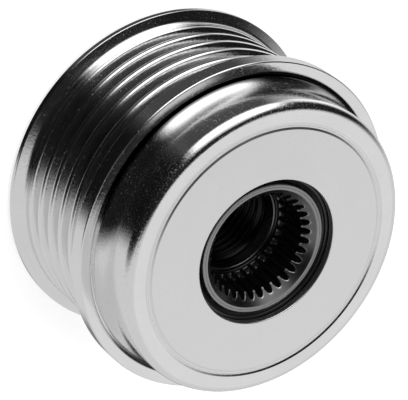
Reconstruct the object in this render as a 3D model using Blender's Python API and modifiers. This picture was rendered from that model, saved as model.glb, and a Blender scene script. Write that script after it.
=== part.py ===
"""Overrunning alternator pulley, standing on the end that meets the alternator.

The origin is on the axis, at the hub's rear end, and +Z runs to the front, in metres.
The hub screws onto the rotor shaft. The belt rim turns about it on two ball bearings,
and a one-way roller clutch between them lets the hub overrun the rim.
"""

from math import acos, cos, degrees, pi, radians, sin, tan

import bmesh
import bpy
from mathutils import Matrix, Vector

# Pieces that touch stand this far apart
CLEARANCE = 0.0003

# Belt track: ribs between two flanges
FLANGE_RADIUS = 0.0303
FLANGE_SLOPE = 20.0
RIB_RADIUS = 0.0282
RIB_ROUNDING = 0.00035
GROOVE_COUNT = 5
GROOVE_PITCH = 0.00356
GROOVE_WIDTH = 0.00265
GROOVE_DEPTH = 0.0024
GROOVE_ANGLE = 40.0
REAR_FLANGE_LAND = 0.00106
REAR_GROOVE_INSET = 0.00307
REAR_FLANGE_FILLET = 0.0009
FRONT_GROOVE_INSET = 0.00241
FRONT_FLANGE_LAND = 0.00285

# Nose of the rim, in front of the belt track
NOSE_RADIUS = 0.02685
NOSE_ROUNDING = 0.0015
NOSE_FLARE = 0.00085
NOSE_FLARE_LENGTH = 0.0038
CAP_SLOT_WIDTH = 0.0008
CAP_SLOT_DEPTH = 0.002
CAP_SLOT_RISE = 0.0007
CAP_SLOT_UNDERCUT = 0.00015

# Cover plate pressed into the nose
PLATE_THICKNESS = 0.0012
PLATE_SEAT = 0.00225
PLATE_HOLE_GAP = 0.0014
PLATE_ROUNDING = 0.00055

# Rubber seals at both ends
SEAL_WIDTH = 0.0019
SEAL_WEB = 0.0009
SEAL_LIP_DEPTH = 0.00045
SEAL_CASE_WALL = 0.0016
REAR_RECESS = 0.00095

# Hub
HUB_PROUD = 0.0008
HUB_RECESS = 0.00125
HUB_WALL = 0.0018
HUB_FACE_WIDTH = 0.001
SEAT_STEP = 0.0005
THREAD_RADIUS = 0.00719
THREAD_LEAD = 0.0008
PILOT_RADIUS = 0.00855
PILOT_DEPTH = 0.007
SPLINE_TEETH = 33
SPLINE_TIP_RADIUS = 0.00885
SPLINE_ROOT_RADIUS = 0.01
SPLINE_ROOT_ROUNDING = 0.00035
SPLINE_GAP_SHARE = 0.7
SPLINE_MOUTH_FLARE = 1.1
SPLINE_SHOULDER_SHARE = 0.62
SPLINE_FLOOR_SHARE = 0.22
SOCKET_DEPTH = 0.0093
SPLINE_RUNOUT = 0.0006

# Ball bearings
BEARING_WIDTH = 0.0075
BALL_RADIUS = 0.0022
BALL_COUNT = 7
RACE_WALL = 0.0012
RACE_GAP = 0.0013
BALL_CAGE_BACK = 0.0008
BALL_CAGE_MOUTH = 0.0016

# One-way clutch
CLUTCH_WIDTH = 0.012
CUP_WALL = 0.0018
CUP_LIP = 0.0008
CUP_LIP_HEIGHT = 0.002
ROLLER_RADIUS = 0.00175
ROLLER_COUNT = 8
CAGE_END = 0.0009
RAMP_ANGLE = 6.0
RAMP_RING_WALL = 0.0028
SPRING_STROKE = 0.002
SPRING_FOLDS = 3
SPRING_SHEET = 0.00016
SPRING_END_GAP = 0.0007

# Facets round each piece
RIM_SEGMENTS = 40
RACE_SEGMENTS = 24
RING_SEGMENTS = 20
ROLLER_SEGMENTS = 9
POCKET_SEGMENTS = 8


def arc(centre_r, centre_z, radius, start, end, steps):
    """Points (r, z) on a circle of a section, from one angle to the other in degrees."""
    points = []
    for step in range(steps + 1):
        angle = radians(start + (end - start) * step / steps)
        points.append((centre_r + radius * cos(angle), centre_z + radius * sin(angle)))
    return points


def make_collection(name):
    collection = bpy.data.collections.new(name)
    bpy.context.scene.collection.children.link(collection)
    return collection


def make_material(name, colour, roughness, metallic):
    material = bpy.data.materials.new(name)
    material.use_nodes = True
    shader = material.node_tree.nodes["Principled BSDF"]
    shader.inputs["Base Color"].default_value = (*colour, 1.0)
    shader.inputs["Roughness"].default_value = roughness
    shader.inputs["Metallic"].default_value = metallic
    return material


def add_object(name, mesh, material, collection, parent=None):
    mesh.materials.append(material)
    obj = bpy.data.objects.new(name, mesh)
    collection.objects.link(obj)
    obj.parent = parent
    return obj


def shade(mesh):
    """Smooth round faces, with the corners kept sharp."""
    mesh.shade_smooth()
    mesh.set_sharp_from_angle(angle=radians(28.0))


def turned_mesh(name, outline, segments):
    """Turn a closed (r, z) outline about Z; it runs down its outer side."""
    profile = bpy.data.meshes.new(name)
    count = len(outline)
    edges = [(index, (index + 1) % count) for index in range(count)]
    profile.from_pydata([(r, 0.0, z) for r, z in outline], edges, [])
    lathe = bpy.data.objects.new(name, profile)
    bpy.context.scene.collection.objects.link(lathe)
    screw = lathe.modifiers.new("turn", "SCREW")
    screw.angle = 2.0 * pi
    screw.steps = segments
    screw.render_steps = segments
    screw.use_merge_vertices = True
    screw.merge_threshold = 1e-6
    depsgraph = bpy.context.evaluated_depsgraph_get()
    mesh = bpy.data.meshes.new_from_object(lathe.evaluated_get(depsgraph))
    mesh.name = name
    bpy.data.objects.remove(lathe)
    bpy.data.meshes.remove(profile)
    shade(mesh)
    return mesh


def mesh_from(name, shape):
    mesh = bpy.data.meshes.new(name)
    shape.to_mesh(mesh)
    shape.free()
    return mesh


def cylinder_mesh(name, radius, length, segments):
    """A cylinder along Z, centred on its own origin."""
    shape = bmesh.new()
    bmesh.ops.create_cone(
        shape, cap_ends=True, segments=segments, radius1=radius, radius2=radius, depth=length
    )
    return mesh_from(name, shape)


def box_mesh(name, low, high):
    """A box between two corners."""
    shape = bmesh.new()
    bmesh.ops.create_cube(shape, size=1.0)
    size = Vector(high) - Vector(low)
    centre = (Vector(high) + Vector(low)) / 2.0
    bmesh.ops.scale(shape, vec=size, verts=shape.verts)
    bmesh.ops.translate(shape, vec=centre, verts=shape.verts)
    return mesh_from(name, shape)


def prism_mesh(name, outline, low, high):
    """Extrude a closed (x, y) outline from one height to another."""
    shape = bmesh.new()
    floor = shape.faces.new([shape.verts.new((x, y, low)) for x, y in outline])
    floor.normal_flip()
    swept = bmesh.ops.extrude_face_region(shape, geom=[floor])
    top = [item for item in swept["geom"] if isinstance(item, bmesh.types.BMVert)]
    bmesh.ops.translate(shape, vec=(0.0, 0.0, high - low), verts=top)
    bmesh.ops.recalc_face_normals(shape, faces=shape.faces)
    return mesh_from(name, shape)


def cut(obj, mesh, placement, cutters):
    """Take a cutter's volume out of an object."""
    cutter = bpy.data.objects.new(mesh.name, mesh)
    cutters.objects.link(cutter)
    cutter.matrix_world = placement
    cutter.hide_render = True
    cutter.display_type = "WIRE"
    boolean = obj.modifiers.new(mesh.name, "BOOLEAN")
    boolean.operation = "DIFFERENCE"
    boolean.solver = "EXACT"
    boolean.object = cutter


# Radii that follow from the driving dimensions, from the hub outwards
LAND_RADIUS = SPLINE_ROOT_RADIUS + HUB_WALL
SEAT_RADIUS = LAND_RADIUS + SEAT_STEP
RACE_BORE = SEAT_RADIUS + CLEARANCE
BALL_TRACK = BALL_RADIUS + CLEARANCE
BALL_CIRCLE = RACE_BORE + RACE_WALL + BALL_TRACK
RACE_OUTSIDE = BALL_CIRCLE + BALL_TRACK + RACE_WALL
RIM_BORE = RACE_OUTSIDE + CLEARANCE
PLATE_POCKET = RIM_BORE + PLATE_SEAT + CLEARANCE
PLATE_HOLE = LAND_RADIUS + PLATE_HOLE_GAP
CUP_BORE = RACE_OUTSIDE - CUP_WALL
ROLLER_CIRCLE = CUP_BORE - CLEARANCE - ROLLER_RADIUS
RAMP_RING_OUTSIDE = RACE_BORE + RAMP_RING_WALL

# Heights, from the rear of the rim to its front
RIM_REAR = HUB_PROUD
REAR_SEAL = RIM_REAR + REAR_RECESS
REAR_BEARING = REAR_SEAL + SEAL_WIDTH + CLEARANCE
CLUTCH = REAR_BEARING + BEARING_WIDTH + CLEARANCE
FRONT_BEARING = CLUTCH + CLUTCH_WIDTH + CLEARANCE
FRONT_SEAL = FRONT_BEARING + BEARING_WIDTH + CLEARANCE
PLATE_SHOULDER = FRONT_SEAL + SEAL_WIDTH
PLATE = PLATE_SHOULDER + CLEARANCE
RIM_FRONT = PLATE + PLATE_THICKNESS
HUB_FRONT = RIM_FRONT - HUB_RECESS

FLANGE_RISE = (FLANGE_RADIUS - RIB_RADIUS) * tan(radians(FLANGE_SLOPE))
FIRST_GROOVE = RIM_REAR + REAR_FLANGE_LAND + FLANGE_RISE + REAR_GROOVE_INSET
LAST_GROOVE = FIRST_GROOVE + (GROOVE_COUNT - 1) * GROOVE_PITCH
FLANGE_FRONT = LAST_GROOVE + FRONT_GROOVE_INSET + FLANGE_RISE + FRONT_FLANGE_LAND


def groove_outline(centre):
    """One V groove of the belt track, from its front rib top down to its rear one."""
    half_angle = radians(GROOVE_ANGLE / 2.0)
    top = GROOVE_WIDTH / 2.0
    root = top - GROOVE_DEPTH * tan(half_angle)
    round_out = RIB_ROUNDING * tan((pi / 2.0 - half_angle) / 2.0)
    front = [
        (RIB_RADIUS, centre + top + round_out),
        (RIB_RADIUS - round_out * cos(half_angle), centre + top - round_out * sin(half_angle)),
        (RIB_RADIUS - GROOVE_DEPTH, centre + root),
    ]
    rear = [(r, 2.0 * centre - z) for r, z in reversed(front)]
    return front + rear


def rim_outline():
    slot_inside = NOSE_RADIUS + NOSE_FLARE - CAP_SLOT_UNDERCUT
    slot_outside = slot_inside + CAP_SLOT_WIDTH
    slot_floor = FLANGE_FRONT - CAP_SLOT_DEPTH
    lip = FLANGE_FRONT + CAP_SLOT_RISE
    cone_top = RIM_REAR + REAR_FLANGE_LAND
    slope = radians(FLANGE_SLOPE)
    fillet_z = cone_top + FLANGE_RISE + REAR_FLANGE_FILLET * tan((pi / 2.0 - slope) / 2.0)
    rounding = RIM_FRONT - NOSE_ROUNDING

    outline = arc(NOSE_RADIUS - NOSE_ROUNDING, rounding, NOSE_ROUNDING, 90.0, 0.0, 3)
    for step in (0.0, 0.5, 1.0):
        spread = NOSE_FLARE * step * step
        outline.append((NOSE_RADIUS + spread, lip + NOSE_FLARE_LENGTH * (1.0 - step)))
    outline += [
        (slot_inside, slot_floor),
        (slot_outside, slot_floor),
        (slot_outside, FLANGE_FRONT),
        (FLANGE_RADIUS, FLANGE_FRONT),
        (FLANGE_RADIUS, FLANGE_FRONT - FRONT_FLANGE_LAND),
        (RIB_RADIUS, LAST_GROOVE + FRONT_GROOVE_INSET),
    ]
    for index in reversed(range(GROOVE_COUNT)):
        outline += groove_outline(FIRST_GROOVE + index * GROOVE_PITCH)
    outline += arc(
        RIB_RADIUS + REAR_FLANGE_FILLET, fillet_z, REAR_FLANGE_FILLET, 180.0, 250.0, 2
    )
    outline += [
        (FLANGE_RADIUS, cone_top),
        (FLANGE_RADIUS, RIM_REAR),
        (RIM_BORE, RIM_REAR),
        (RIM_BORE, PLATE_SHOULDER),
        (PLATE_POCKET, PLATE_SHOULDER),
    ]
    outline += arc(
        PLATE_POCKET + PLATE_ROUNDING, RIM_FRONT - PLATE_ROUNDING, PLATE_ROUNDING, 180.0, 90.0, 1
    )
    return outline


def build_rim(parts, parent):
    steel = make_material("plated_steel", (0.62, 0.63, 0.64), 0.28, 1.0)
    add_object("rim", turned_mesh("rim", rim_outline(), RIM_SEGMENTS), steel, parts, parent)


def build_cover_plate(parts, parent):
    steel = make_material("pressed_steel", (0.66, 0.67, 0.68), 0.32, 1.0)
    edge = PLATE_POCKET - CLEARANCE
    outline = arc(
        edge - PLATE_ROUNDING, RIM_FRONT - PLATE_ROUNDING, PLATE_ROUNDING, 90.0, 0.0, 1
    )
    outline += [
        (edge, PLATE),
        (PLATE_HOLE, PLATE),
        (PLATE_HOLE, RIM_FRONT),
    ]
    add_object(
        "cover_plate", turned_mesh("cover_plate", outline, RIM_SEGMENTS), steel, parts, parent
    )


def build_seal(name, base, outward, parts, parent):
    """A case pressed into the rim, with a lip that leans out along the hub."""
    rubber = make_material(name + "_rubber", (0.03, 0.03, 0.032), 0.6, 0.0)
    case = RACE_OUTSIDE - SEAL_CASE_WALL
    lip = LAND_RADIUS + CLEARANCE
    lip_root = PLATE_HOLE - CLEARANCE
    section = [
        (RACE_OUTSIDE, SEAL_WIDTH),
        (RACE_OUTSIDE, 0.0),
        (case, 0.0),
        (case, SEAL_WIDTH - SEAL_WEB),
        (lip_root, SEAL_WIDTH - SEAL_WEB),
        (lip, SEAL_WIDTH - SEAL_WEB - SEAL_LIP_DEPTH),
        (lip, SEAL_WIDTH - SEAL_WEB),
        (lip_root, SEAL_WIDTH),
    ]
    if outward > 0:
        outline = [(r, base + z) for r, z in section]
    else:
        outline = [(r, base + SEAL_WIDTH - z) for r, z in reversed(section)]
    add_object(name, turned_mesh(name, outline, RING_SEGMENTS), rubber, parts, parent)


def hub_outline():
    shoulder = CLEARANCE / 2.0
    ledge = HUB_FRONT - SOCKET_DEPTH
    chamfer = LAND_RADIUS - HUB_FACE_WIDTH
    thread_end = PILOT_DEPTH + PILOT_RADIUS - THREAD_RADIUS
    return [
        (LAND_RADIUS, HUB_FRONT),
        (LAND_RADIUS, FRONT_SEAL - shoulder),
        (SEAT_RADIUS, FRONT_SEAL - shoulder),
        (SEAT_RADIUS, REAR_BEARING - shoulder),
        (LAND_RADIUS, REAR_BEARING - shoulder),
        (LAND_RADIUS, 0.0),
        (PILOT_RADIUS, 0.0),
        (PILOT_RADIUS, PILOT_DEPTH),
        (THREAD_RADIUS, thread_end),
        (THREAD_RADIUS, ledge - THREAD_LEAD),
        (THREAD_RADIUS + THREAD_LEAD, ledge),
        (SPLINE_TIP_RADIUS, ledge),
        (SPLINE_TIP_RADIUS, HUB_FRONT - (chamfer - SPLINE_TIP_RADIUS)),
        (chamfer, HUB_FRONT),
    ]


def spline_outline():
    """The spaces between the spline's teeth, joined through the open bore."""
    pitch = 2.0 * pi / SPLINE_TEETH
    half_space = pitch * SPLINE_GAP_SHARE / 2.0
    mouth = SPLINE_TIP_RADIUS * cos(pitch / 2.0) - CLEARANCE
    shoulder = SPLINE_ROOT_RADIUS - SPLINE_ROOT_ROUNDING
    side = (
        (mouth, SPLINE_MOUTH_FLARE),
        (shoulder, SPLINE_SHOULDER_SHARE),
        (SPLINE_ROOT_RADIUS, SPLINE_FLOOR_SHARE),
    )
    section = [(radius, -width) for radius, width in side]
    section += [(radius, width) for radius, width in reversed(side)]
    outline = []
    for space in range(SPLINE_TEETH):
        for radius, width in section:
            angle = (space + 0.5) * pitch + width * half_space
            outline.append((radius * cos(angle), radius * sin(angle)))
    return outline


def build_hub(parts, cutters):
    steel = make_material("hub_steel", (0.5, 0.51, 0.52), 0.35, 1.0)
    hub = add_object("hub", turned_mesh("hub", hub_outline(), SPLINE_TEETH), steel, parts)
    low = HUB_FRONT - SOCKET_DEPTH + SPLINE_RUNOUT
    spaces = prism_mesh("spline_spaces", spline_outline(), low, RIM_FRONT)
    cut(hub, spaces, Matrix.Identity(4), cutters)


def build_races(end, base, parts, hub_side, rim_side):
    """The two rings of a ball bearing, each with its ball groove."""
    steel = make_material(end + "_race_steel", (0.6, 0.61, 0.62), 0.2, 1.0)
    middle = base + BEARING_WIDTH / 2.0
    top = base + BEARING_WIDTH
    half = degrees(acos(RACE_GAP / BALL_TRACK))
    inner_groove = arc(BALL_CIRCLE, middle, BALL_TRACK, 180.0 - half, 180.0 + half, 4)
    inner = [(BALL_CIRCLE - RACE_GAP, top), *inner_groove, (BALL_CIRCLE - RACE_GAP, base)]
    inner += [(RACE_BORE, base), (RACE_BORE, top)]
    outer_groove = arc(BALL_CIRCLE, middle, BALL_TRACK, -half, half, 4)
    outer = [(RACE_OUTSIDE, top), (RACE_OUTSIDE, base), (BALL_CIRCLE + RACE_GAP, base)]
    outer += [*outer_groove, (BALL_CIRCLE + RACE_GAP, top)]
    for name, outline, parent in (
        (end + "_inner_race", inner, hub_side), (end + "_outer_race", outer, rim_side),
    ):
        add_object(name, turned_mesh(name, outline, RACE_SEGMENTS), steel, parts, parent)


def build_balls(end, base, facing, parts, cutters, parent):
    """Balls in a snap cage, whose pockets open towards the end of the pulley."""
    nylon = make_material(end + "_cage_nylon", (0.62, 0.56, 0.42), 0.5, 0.0)
    steel = make_material(end + "_ball_steel", (0.75, 0.76, 0.77), 0.1, 1.0)
    middle = base + BEARING_WIDTH / 2.0
    back = middle - facing * (BALL_TRACK + BALL_CAGE_BACK)
    mouth = middle + facing * BALL_CAGE_MOUTH
    low = min(back, mouth)
    high = max(back, mouth)
    inside = BALL_CIRCLE - RACE_GAP + CLEARANCE
    outside = BALL_CIRCLE + RACE_GAP - CLEARANCE
    band = [(outside, high), (outside, low), (inside, low), (inside, high)]
    name = end + "_ball_cage"
    cage = add_object(name, turned_mesh(name, band, RING_SEGMENTS), nylon, parts, parent)

    shape = bmesh.new()
    bmesh.ops.create_icosphere(shape, subdivisions=2, radius=BALL_RADIUS)
    ball_mesh = mesh_from(end + "_ball", shape)
    ball_mesh.materials.append(steel)
    ball_mesh.shade_smooth()
    pocket = cylinder_mesh(end + "_pocket", BALL_TRACK, 2.0 * BALL_TRACK, POCKET_SEGMENTS)
    for index in range(BALL_COUNT):
        turn = Matrix.Rotation(2.0 * pi * index / BALL_COUNT, 4, "Z")
        place = turn @ Matrix.Translation((BALL_CIRCLE, 0.0, middle))
        cut(cage, pocket, place @ Matrix.Rotation(pi / 2.0, 4, "Y"), cutters)
        ball = bpy.data.objects.new(f"{end}_ball_{index + 1}", ball_mesh)
        parts.objects.link(ball)
        ball.matrix_world = place
        ball.parent = parent


def build_bearing(end, base, facing, parts, cutters, hub_axis, rim_axis):
    build_races(end, base, parts, hub_axis, rim_axis)
    ball_axis = make_axis(end + "_ball_axis", parts, hub_axis)
    build_balls(end, base, facing, parts, cutters, ball_axis)


def build_clutch_cup(parts, parent):
    """The sleeve that the rollers grip, with a lip at each end."""
    steel = make_material("cup_steel", (0.48, 0.49, 0.5), 0.3, 1.0)
    top = CLUTCH + CLUTCH_WIDTH
    lip = CUP_BORE - CUP_LIP_HEIGHT
    outline = [
        (RACE_OUTSIDE, top), (RACE_OUTSIDE, CLUTCH), (lip, CLUTCH), (lip, CLUTCH + CUP_LIP),
        (CUP_BORE, CLUTCH + CUP_LIP), (CUP_BORE, top - CUP_LIP), (lip, top - CUP_LIP), (lip, top),
    ]
    mesh = turned_mesh("clutch_cup", outline, RING_SEGMENTS)
    add_object("clutch_cup", mesh, steel, parts, parent)


def roller_place(index):
    """A roller's centre, with X outwards and Y towards the wide end of its ramp."""
    turn = Matrix.Rotation(2.0 * pi * index / ROLLER_COUNT, 4, "Z")
    return turn @ Matrix.Translation((ROLLER_CIRCLE, 0.0, CLUTCH + CLUTCH_WIDTH / 2.0))


def build_ramp_ring(parts, cutters, parent):
    """The hub's clutch ring: each roller runs on a flat that rises towards its stop."""
    steel = make_material("ramp_steel", (0.45, 0.46, 0.47), 0.3, 1.0)
    top = CLUTCH + CLUTCH_WIDTH
    outline = [
        (RAMP_RING_OUTSIDE, top), (RAMP_RING_OUTSIDE, CLUTCH), (RACE_BORE, CLUTCH),
        (RACE_BORE, top),
    ]
    mesh = turned_mesh("ramp_ring", outline, RING_SEGMENTS)
    ring = add_object("ramp_ring", mesh, steel, parts, parent)
    stop = -(ROLLER_RADIUS + CLEARANCE)
    far = -stop + SPRING_STROKE + 2.0 * CLEARANCE
    flat = box_mesh("ramp", (stop, stop, -CLUTCH_WIDTH), (CUP_WALL, far, CLUTCH_WIDTH))
    for index in range(ROLLER_COUNT):
        tilt = Matrix.Rotation(radians(-RAMP_ANGLE), 4, "Z")
        cut(ring, flat, roller_place(index) @ tilt, cutters)


def build_rollers(parts, cutters, parent):
    """Rollers, their springs and the cage that spaces them round the ramps."""
    steel = make_material("roller_steel", (0.72, 0.73, 0.74), 0.12, 1.0)
    spring_steel = make_material("spring_steel", (0.55, 0.56, 0.58), 0.25, 1.0)
    nylon = make_material("clutch_cage_nylon", (0.05, 0.05, 0.055), 0.5, 0.0)
    low = CLUTCH + CUP_LIP + CLEARANCE
    high = CLUTCH + CLUTCH_WIDTH - CUP_LIP - CLEARANCE
    inside = RAMP_RING_OUTSIDE + CLEARANCE
    outside = CUP_BORE - CLEARANCE
    band = [(outside, high), (outside, low), (inside, low), (inside, high)]
    mesh = turned_mesh("clutch_cage", band, RING_SEGMENTS)
    cage = add_object("clutch_cage", mesh, nylon, parts, parent)

    window_half = (high - low) / 2.0 - CAGE_END
    side = ROLLER_RADIUS + CLEARANCE
    spring_end = side + SPRING_STROKE
    depth = outside - inside
    window = box_mesh(
        "roller_window", (-depth, -side, -window_half), (depth, spring_end + CLEARANCE, window_half)
    )
    roller_length = 2.0 * (window_half - CLEARANCE)
    roller_mesh = cylinder_mesh("roller", ROLLER_RADIUS, roller_length, ROLLER_SEGMENTS)
    roller_mesh.materials.append(steel)
    shade(roller_mesh)
    for index in range(ROLLER_COUNT):
        place = roller_place(index)
        cut(cage, window, place, cutters)
        roller = bpy.data.objects.new(f"roller_{index + 1}", roller_mesh)
        parts.objects.link(roller)
        roller.matrix_world = place
        roller.parent = parent
        build_spring(index, place, side, spring_end, window_half, spring_steel, parts, parent)


def build_spring(index, place, start, end, half_length, steel, parts, parent):
    """A folded strip that pushes its roller up the ramp."""
    name = f"roller_spring_{index + 1}"
    inner = -ROLLER_RADIUS + SPRING_END_GAP
    outer = ROLLER_RADIUS - SPRING_END_GAP
    half_width = half_length - SPRING_END_GAP
    shape = bmesh.new()
    rows = []
    for fold in range(SPRING_FOLDS + 1):
        x = outer if fold % 2 else inner
        y = start + SPRING_SHEET + (end - start - 2.0 * SPRING_SHEET) * fold / SPRING_FOLDS
        rows.append([shape.verts.new((x, y, z)) for z in (-half_width, half_width)])
    for near, far in zip(rows, rows[1:]):
        shape.faces.new((near[0], near[1], far[1], far[0]))
    spring = add_object(name, mesh_from(name, shape), steel, parts, parent)
    spring.matrix_world = place
    solid = spring.modifiers.new("sheet", "SOLIDIFY")
    solid.thickness = SPRING_SHEET
    solid.offset = 0.0


def make_axis(name, parts, parent=None):
    """An empty on the axis, which carries what turns together."""
    empty = bpy.data.objects.new(name, None)
    parts.objects.link(empty)
    empty.parent = parent
    return empty


for old in list(bpy.data.objects):
    bpy.data.objects.remove(old)

alternator_pulley = make_collection("alternator_pulley")
cutter_shapes = make_collection("cutters")
hub_turn = make_axis("hub_axis", alternator_pulley)
rim_turn = make_axis("rim_axis", alternator_pulley, hub_turn)

build_hub(alternator_pulley, cutter_shapes)
build_rim(alternator_pulley, rim_turn)
build_cover_plate(alternator_pulley, rim_turn)
build_seal("front_seal", FRONT_SEAL, 1, alternator_pulley, rim_turn)
build_seal("rear_seal", REAR_SEAL, -1, alternator_pulley, rim_turn)
build_bearing(
    "front", FRONT_BEARING, 1, alternator_pulley, cutter_shapes, hub_turn, rim_turn
)
build_bearing("rear", REAR_BEARING, -1, alternator_pulley, cutter_shapes, hub_turn, rim_turn)
build_clutch_cup(alternator_pulley, rim_turn)
build_ramp_ring(alternator_pulley, cutter_shapes, hub_turn)
build_rollers(alternator_pulley, cutter_shapes, hub_turn)
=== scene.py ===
"""Looks of the overrunning alternator pulley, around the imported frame, in metres."""

from math import asin, atan2, cos, pi, radians, sin, tan

import bpy
import numpy as np
from mathutils import Matrix, Vector


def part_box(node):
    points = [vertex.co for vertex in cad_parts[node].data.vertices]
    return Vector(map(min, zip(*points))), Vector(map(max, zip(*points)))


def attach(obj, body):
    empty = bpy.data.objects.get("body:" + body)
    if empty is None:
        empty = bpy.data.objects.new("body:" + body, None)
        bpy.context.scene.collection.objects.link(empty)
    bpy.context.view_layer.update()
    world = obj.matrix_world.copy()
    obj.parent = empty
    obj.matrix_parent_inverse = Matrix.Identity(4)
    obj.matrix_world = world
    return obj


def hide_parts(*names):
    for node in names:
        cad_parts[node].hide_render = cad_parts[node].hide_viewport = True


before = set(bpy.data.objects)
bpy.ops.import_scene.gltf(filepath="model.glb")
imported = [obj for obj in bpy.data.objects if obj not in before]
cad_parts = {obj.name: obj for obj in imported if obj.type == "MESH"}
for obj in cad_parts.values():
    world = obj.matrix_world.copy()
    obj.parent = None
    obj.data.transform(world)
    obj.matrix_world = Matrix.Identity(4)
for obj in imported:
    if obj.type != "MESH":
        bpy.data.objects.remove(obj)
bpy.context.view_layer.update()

# Hub. It is turned from steel bar, broached with the drive spline from the front
# and threaded for the rotor shaft from behind, then oiled. It carries both bearings
# and the ramp ring, and the rim turns about it.
mm = 0.001
hub_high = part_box("hub")[1]
hub_front = hub_high.z / mm
hub_seat = hub_high.x / mm
hub_land = 11.8
seat_rear = 3.8
seat_front = 31.7
hub_face_width = 1.0
ring_line = 11.3
ring_line_half = 0.08
spline_teeth = 33
spline_tip = 8.85
spline_root = 10.0
spline_space_share = 0.74
spline_end = 25.3
spline_runout = 0.7
socket_floor = 24.7
socket_lip = 0.12
socket_rounding = 0.15
floor_inside = spline_tip - 0.3
thread_major = 8.0
thread_minor = 7.19
thread_pitch = 1.5
thread_crest = 1 / 4
thread_root = 1 / 8
thread_front = 21.2
relief_radius = 8.1
pilot_radius = 8.55
pilot_depth = 7.0


def rounded(corners, steps=5, support=0.05):
    """An outline whose corners (r, z, rounding) become arcs that touch both sides of the corner.

    The arc's centre lies on the corner's bisector, rounding / sin(half the corner) away.
    A point a little way along each side keeps the flat faces flat when they are shaded.
    """
    place = np.array([corner[:2] for corner in corners], float)
    radius = np.array([corner[2] for corner in corners], float)[:, None]
    back = np.roll(place, 1, 0) - place
    on = np.roll(place, -1, 0) - place
    back /= np.linalg.norm(back, axis=1, keepdims=True)
    on /= np.linalg.norm(on, axis=1, keepdims=True)
    half = np.arccos(np.clip((back * on).sum(1, keepdims=True), -1, 1)) / 2
    reach = radius / np.tan(half)
    middle = back + on
    middle /= np.maximum(np.linalg.norm(middle, axis=1, keepdims=True), 1e-9)
    centre = place + middle * radius / np.sin(half)
    first = place + back * reach - centre
    last = place + on * reach - centre
    start = np.arctan2(first[:, 1], first[:, 0])[:, None]
    sweep = np.arctan2(last[:, 1], last[:, 0])[:, None] - start
    sweep = (sweep + pi) % (2 * pi) - pi
    angle = start + sweep * np.linspace(0, 1, steps + 1)
    arcs = centre[:, None] + radius[:, :, None] * np.stack([np.cos(angle), np.sin(angle)], -1)
    lead_in = place + back * (reach + support)
    lead_out = place + on * (reach + support)
    points = np.concatenate([lead_in[:, None], arcs, lead_out[:, None]], 1)
    plain = np.broadcast_to(radius[:, :, None] == 0, points.shape)
    points = np.where(plain, place[:, None], points).reshape(-1, 2)
    keep = np.linalg.norm(points - np.roll(points, 1, 0), axis=1) > 1e-5
    return points[keep]


def round_axis(radius, height, columns):
    """Points x = r cos a, y = r sin a, z for rows of radii and heights, at evenly spaced angles a."""
    angle = np.arange(columns) * 2 * pi / columns
    radius = np.broadcast_to(radius, (len(height), columns))
    level = np.broadcast_to(height[:, None], radius.shape)
    return np.stack([radius * np.cos(angle), radius * np.sin(angle), level], -1)


def grid_faces(index):
    """Quads between the rows of a grid of point numbers that closes round the axis."""
    beside = np.roll(index, -1, 1)
    return np.stack([index[:-1], index[1:], beside[1:], beside[:-1]], -1).reshape(-1, 4)


def make_piece(name, points, faces, sharp=None, oil=None, wear=None):
    """An object at the origin from points in millimetres and faces, shaded smooth.

    An edge that turns by more than the sharp angle, in degrees, stays crisp. The oil and shade
    level is how dark each point is with oil and painted shade, down to a painted glint at 0, and
    wear how thick the worn specks lie, both from 0 to 1.
    """
    mesh = bpy.data.meshes.new(name)
    mesh.from_pydata((np.asarray(points) * mm).tolist(), [], [list(face) for face in faces])
    mesh.shade_smooth()
    for look, share in (("oil", oil), ("wear", wear)):
        if share is not None:
            attribute = mesh.attributes.new(look, "FLOAT", "POINT")
            attribute.data.foreach_set("value", share.astype(np.float32))
    if sharp is not None:
        mesh.set_sharp_from_angle(angle=radians(sharp))
    piece = bpy.data.objects.new(name, mesh)
    bpy.context.scene.collection.objects.link(piece)
    return piece


def turned(name, outline, columns, oil=None, wear=None):
    """A closed outline (r, z), running down its outer side, carried once round the axis."""
    points = round_axis(outline[:, :1], outline[:, 1], columns)
    index = np.arange(len(outline) * columns).reshape(len(outline), columns)
    faces = grid_faces(np.vstack([index, index[:1]]))
    looks = [
        None if look is None else np.broadcast_to(look.reshape(len(outline), -1), index.shape).ravel()
        for look in (oil, wear)
    ]
    return make_piece(name, points.reshape(-1, 3), faces, 40, *looks)


def fan_ring(coarse, fine):
    """Faces on a flat ring between a row of few points and a row of many.

    Each face has one edge of the first row and the matching run of the second.
    """
    share = len(fine) // len(coarse)
    run = fine.reshape(len(coarse), share)
    closed = np.hstack([run, np.roll(run, -1, 0)[:, :1]])
    return np.hstack([closed, np.roll(coarse, -1)[:, None], coarse[:, None]])


def spline_space(angle):
    """Depth of the space between two teeth, from 0 at a tooth's side to 1 in the middle.

    It is (1 - |u|^2.6)^0.6, with u running from -1 to 1 across the space.
    """
    across = (angle * spline_teeth / (2 * pi)) % 1 - 0.5
    across = np.clip(np.abs(across) / (spline_space_share / 2), 0, 1)
    return (1 - across**2.6) ** 0.6


def thread_radius(angle, height):
    """Radius of the hole at an angle and height: a right-handed thread, one pitch in each turn.

    Its flanks run straight between two radii. A quarter of the pitch stays flat on the crest,
    and an eighth at the root.
    """
    phase = (height / thread_pitch - angle / (2 * pi)) % 1
    flank = 1 - thread_crest - thread_root
    rise = np.clip((np.abs(phase - 0.5) * 2 - thread_crest) / flank, 0, 1)
    return thread_minor + (thread_major - thread_minor) * rise


socket_columns = spline_teeth * 16
shaft_columns = spline_teeth * 4
chamfer = hub_land - hub_face_width
chamfer_foot = hub_front - (chamfer - spline_tip)

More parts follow.
